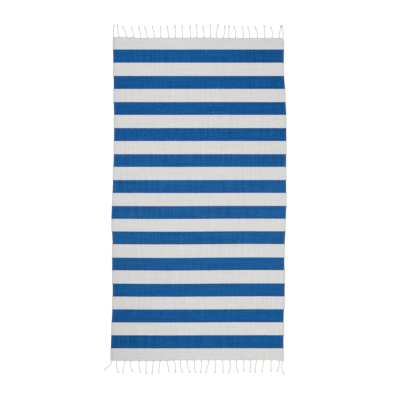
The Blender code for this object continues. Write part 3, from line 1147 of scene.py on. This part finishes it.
def add_plies(skein, end, index, turn):
    """Two plies twisted round the strand's path."""
    path, knot = strand_path(end, index)
    normals, binormals = frames_along(path)
    from_knot = np.hypot(path[:, 0] - knot.x, path[:, 1] - knot.y)
    near_knot = np.array([1 - soft_step((away - KNOTTED_REACH) / KNOTTED_FADE) for away in from_knot])
    offset = PLY_OFFSET + (KNOTTED_PLY_OFFSET - PLY_OFFSET) * near_knot
    radius = PLY_RADIUS + (KNOTTED_PLY_RADIUS - PLY_RADIUS) * near_knot
    radius[[0, -1]] = PLY_TIP
    angles = turn + np.arange(len(path)) * RING_STEP * math.tau / LAY
    for half_turn in (0.0, math.pi):
        cosine = np.cos(angles + half_turn)[:, None]
        sine = np.sin(angles + half_turn)[:, None]
        ply_path = path + (normals * cosine + binormals * sine) * offset[:, None]
        rings = thread_rings(ply_path, radius, PLY_SIDES)
        middle = path[:, 2][:, None]
        rings[:, :, 2] = middle + (rings[:, :, 2] - middle) * SQUASH
        rings[:, :, 2] = np.maximum(rings[:, :, 2], 0.0)
        skein.add(rings)


print("a ply turns", round(lengths_along(first_path)[-1] / LAY, 1), "times in the first strand")

# %% [markdown]
# ## The gathered warp
#
# The warp threads of about 36 mm of cloth keep close to its edge, turn off to one point, and run into the
# strand there. Their number is assumed. Straight lines to that point would be simpler, but look like a stiff
# fan.

# %% Gather the warp
WARP_THREADS = 16  # gathered into one strand
WARP_RADIUS = 0.15 * MM
WARP_SIDES = 5
WARP_BURIED = 3 * MM  # a thread starts so far inside the cloth
WARP_TUCK = 0.5 * MM  # where the threads leave the weave, so far inside the cloth's end
WARP_SLACK = 0.5 * MM  # the slackest of them strays so far from the cloth
WARP_SLOT = (0.2, 0.8)  # the part of its share of the cloth's edge that a thread may leave from
SIDE_MARGIN = 1 * MM  # at the cloth's side, none leaves nearer than this
FAN_POWER = 4  # the higher, the longer a thread keeps to the cloth's edge
WARP_SHARES = (0.0, 0.08, 0.25, 0.45, 0.65, 0.8, 0.9, 1.0)  # of the way, closer where a thread bends
LAYER_SPREAD = 0.4 * MM  # up or down, as it leaves the cloth
BUNDLE_SPREAD = 0.5 * MM  # and as it meets the strand
WARP_END = 3 * MM  # it ends so far into the strand
WARP_END_SPREAD = 0.5 * MM


def add_gathered_warp(skein, end, index, chance):
    """The warp threads, from the cloth's edge in to where the strand begins."""
    roots = root_places(end)
    root, gather = roots[index], gather_of(end.strands[index])
    left_side = -cloth_side(end.sign * CLOTH_END, "left") + SIDE_MARGIN
    right_side = cloth_side(end.sign * CLOTH_END, "right") - SIDE_MARGIN
    start = (roots[index - 1] + root) / 2 if index > 0 else left_side
    stop = (roots[index + 1] + root) / 2 if index < len(roots) - 1 else right_side
    for number in range(WARP_THREADS):
        x = start + (stop - start) * (number + chance.uniform(*WARP_SLOT)) / WARP_THREADS
        order = (number + 0.5) / WARP_THREADS * 2 - 1
        bundle_x = strand_middle(end, index, gather).x + order * PLY_OFFSET
        cloth_z = lift(x, end.sign * CLOTH_END) + THICKNESS / 2
        slack = chance.uniform(0.0, WARP_SLACK)
        layer_z = cloth_z + chance.uniform(-LAYER_SPREAD, LAYER_SPREAD)
        bundle_z = AXIS_HEIGHT + chance.uniform(-BUNDLE_SPREAD, BUNDLE_SPREAD)
        points = [(x, end.sign * (edge_out(end, x) - WARP_BURIED), cloth_z)]
        for share in WARP_SHARES:
            edge = edge_out(end, x) + (edge_out(end, root) - edge_out(end, x)) * share
            run = slack * 4 * share * (1 - share)
            out = edge - WARP_TUCK + run + (gather + WARP_TUCK - run) * share**FAN_POWER
            height = layer_z + (bundle_z - layer_z) * share**2
            points.append((x + (bundle_x - x) * share, end.sign * out, height))
        middle = strand_middle(end, index, gather + WARP_END)
        points.append((middle.x + order * WARP_END_SPREAD, middle.y, AXIS_HEIGHT))
        skein.add(thread_rings(np.array(points), np.full(len(points), WARP_RADIUS), WARP_SIDES))


print(WARP_THREADS * len(TOP_STRANDS), "warp threads in the top fringe")

# %% [markdown]
# ## The frayed tail
#
# Below the knot the strand comes apart into its threads, which spread and sink to the floor. The photograph
# shows which way a tail hooks, but not its threads, so their lengths and their curls are drawn at random. A
# solid cone would be lighter to handle, and would look cut off.

# %% Fray the tail
TAIL_RADIUS = 0.32 * MM  # a thread of the tail, untwisted and so a little thicker
TAIL_TIP = 0.15 * MM
TAIL_SIDES = 4
TAIL_POINTS = 6
TAIL_START = 1.5 * MM  # past the strand's reach, inside the knot
TAIL_UNEVEN = 1.5 * MM  # a thread is at most so much longer or shorter than the rest
TAIL_CURL = 0.7 * MM
TAIL_HALF_WIDTH = 0.8 * MM  # where it starts
TAIL_SPREAD = 2.3 * MM  # so much further out the outermost thread ends
TAIL_SPREAD_POWER = 1.3
TAIL_LIFT = 1.6 * MM  # where it starts, above the floor
TAIL_SINK_POWER = 1.5


def add_tail(skein, end, index, chance):
    """The frayed threads past the knot, which spread and sink to the floor."""
    reach = end.strands[index].reach * MM
    for number in range(WARP_THREADS):
        spread = (number + 0.5) / WARP_THREADS * 2 - 1
        length = TAIL + chance.uniform(-TAIL_UNEVEN, TAIL_UNEVEN)
        curl = chance.uniform(-TAIL_CURL, TAIL_CURL)
        points = []
        for share in np.linspace(0.0, 1.0, TAIL_POINTS):
            middle = strand_middle(end, index, reach + TAIL_START + (length - TAIL_START) * share)
            half_width = TAIL_HALF_WIDTH + TAIL_SPREAD * share**TAIL_SPREAD_POWER
            sideways = spread * half_width + curl * math.sin(math.pi * share)
            height = TAIL_RADIUS + TAIL_LIFT * (1 - share) ** TAIL_SINK_POWER
            points.append((middle.x + sideways, middle.y, height))
        radii = np.linspace(TAIL_RADIUS, TAIL_TIP, TAIL_POINTS)
        skein.add(thread_rings(np.array(points), radii, TAIL_SIDES))


print("tails", round((TAIL - TAIL_UNEVEN) / MM, 1), "to", round((TAIL + TAIL_UNEVEN) / MM, 1), "mm long")

# %% [markdown]
# ## Both fringes
#
# A fringe is 26 strands side by side. What varies from thread to thread is drawn from a seeded generator, one
# for each end, so the two ends differ and every run gives the same towel.

# %% Make the fringes
import random

FIRST_SEED = 11


def build_strands(end, seed):
    """All the threads of one end."""
    chance = random.Random(seed)
    skein = Skein()
    for index in range(len(end.strands)):
        add_gathered_warp(skein, end, index, chance)
        add_plies(skein, end, index, chance.uniform(0.0, math.tau))
        add_tail(skein, end, index, chance)
    return skein


fringes = []
for seed, end in enumerate(ENDS, start=FIRST_SEED):
    skein = build_strands(end, seed)
    name = end.node.replace("fringe", "knotted_fringe")
    fringe = placed(name, skein.mesh(name))
    fringes.append(fringe)
    print(name, len(skein.threads), "threads,", 2 * len(fringe.data.polygons), "triangles")

# %% [markdown]
# ## The yarn's finish
#
# The fringe is the cloth's own warp, an undyed off-white cotton. Its fibres slant across the thread, which
# ridges in the bump show, with painted shade in the grooves between them. They are drawn in the `yarn` map,
# so they follow every bend. Counting a few ridges round the thread and one every so often along it gives the
# slant.

# %% Spin the yarn's finish
YARN_COTTON = (0.675, 0.665, 0.655, 1.0)
YARN_SHADE = (0.645, 0.635, 0.620, 1.0)  # where it is dustier
DUST_LENGTH = 25 * MM
FIBRE_PITCH = 0.9 * MM
FIBRES_AROUND = 7
UNEVEN_LENGTH = 7 * MM  # the yarn is thick and thin by turns, over about this length
UNEVEN_SHADE = 0.25
# painted shade between two ridges of fibres, lighter on top of each
RIDGE_GROOVE_PAINTED_SHADE = 0.18  # from between two ridges to the top of one
YARN_ROUGHNESS = 0.95
RIDGE_SMOOTHER = 0.06
YARN_RELIEF = 0.15 * MM

yarn_finish, tree, shader = new_finish("off_white_warp_yarn")
yarn_place = Wire.node(tree, "ShaderNodeUVMap", {"uv_map": "yarn"}, {})
around_thread = Wire.node(tree, "ShaderNodeSeparateXYZ", {}, {0: yarn_place})
along_thread = around_thread.output("Y")
ridge = arched((along_thread / FIBRE_PITCH + around_thread * FIBRES_AROUND) % 1.0)
thick_and_thin = cloudy(along_thread / UNEVEN_LENGTH, around_thread) - 0.5
# thick and thin yarn, with painted shade between the fibre ridges
yarn_tone_and_painted_shade = 1.0 + UNEVEN_SHADE * thick_and_thin + RIDGE_GROOVE_PAINTED_SHADE * (ridge - MEAN_ARCH)
dusty = cloudy(along_thread / DUST_LENGTH, around_thread + 9.0)
yarn_colour = brightened(mixed(dusty, YARN_COTTON, YARN_SHADE), yarn_tone_and_painted_shade)
wire_cotton(shader, yarn_colour, YARN_ROUGHNESS - RIDGE_SMOOTHER * ridge, ridge, YARN_RELIEF)
for fringe in fringes:
    fringe.data.materials.append(yarn_finish)
print("yarn nodes", len(tree.nodes))

# %% [markdown]
# ## Tie the pieces to the imported model
#
# Every piece rides on the one body and stands for a solid, which stays for collisions but is hidden.

# %% Ride and replace
for fringe, end in zip(fringes, ENDS):
    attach(fringe, "root")
    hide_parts(end.node)
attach(cloth, "root")
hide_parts("towel_cloth")
2 * CLOTH_END
print("flat size", round(2 * LOOM_HALF_WIDTH, 3), "by", round(2 * CLOTH_END, 3), "m")

# %% [markdown]
# ## Floor and light
#
# The photograph's ground is pure white without any shadow, and it doesn't tell where its lamps stood. So the
# plainest light that fits is used, a white surround with one large soft box straight above. The floor glows
# faintly, as a light table does, which fills the last shadows round the strands.

# %% Light it
SURROUND = 0.80
FLOOR_COLOUR = (0.94, 0.94, 0.94, 1.0)
FLOOR_GLOW = 0.11
FLOOR_HALF = 20.0  # metres, so that its end stays out of low views too
FLOOR_DROP = 0.2 * MM  # the floor lies this far below the towel, so that no two faces share a plane
LAMP_HEIGHT = 4.0  # metres
LAMP_SIZE = 2.0  # metres
LAMP_WATTS = 42.6
WHITE = (1.0, 1.0, 1.0, 1.0)

floor_mesh = bpy.data.meshes.new("pale_floor")
floor_corners = [(x * FLOOR_HALF, y * FLOOR_HALF, 0.0) for x, y in ((-1, -1), (1, -1), (1, 1), (-1, 1))]
floor_mesh.from_pydata(floor_corners, [], [(0, 1, 2, 3)])
floor = placed("pale_floor", floor_mesh, (0.0, 0.0, -FLOOR_DROP))
floor_finish, tree, shader = new_finish("pale_paper")
shader.inputs["Base Color"].default_value = FLOOR_COLOUR
shader.inputs["Roughness"].default_value = 1.0
shader.inputs["Specular IOR Level"].default_value = 0.0
shader.inputs["Emission Color"].default_value = WHITE
shader.inputs["Emission Strength"].default_value = FLOOR_GLOW
floor_mesh.materials.append(floor_finish)

lamp_data = bpy.data.lights.new("overhead_soft_box", "AREA")
lamp_data.energy = LAMP_WATTS
lamp_data.size = LAMP_SIZE
placed("overhead_soft_box", lamp_data, (0.0, 0.0, LAMP_HEIGHT))

surround = bpy.data.worlds.new("white_surround")
surround.use_nodes = True
background = surround.node_tree.nodes["Background"]
background.inputs["Color"].default_value = WHITE
background.inputs["Strength"].default_value = SURROUND
bpy.context.scene.world = surround
bpy.context.scene.view_settings.view_transform = "Standard"
print("surround", SURROUND, "soft box", LAMP_WATTS, "W")
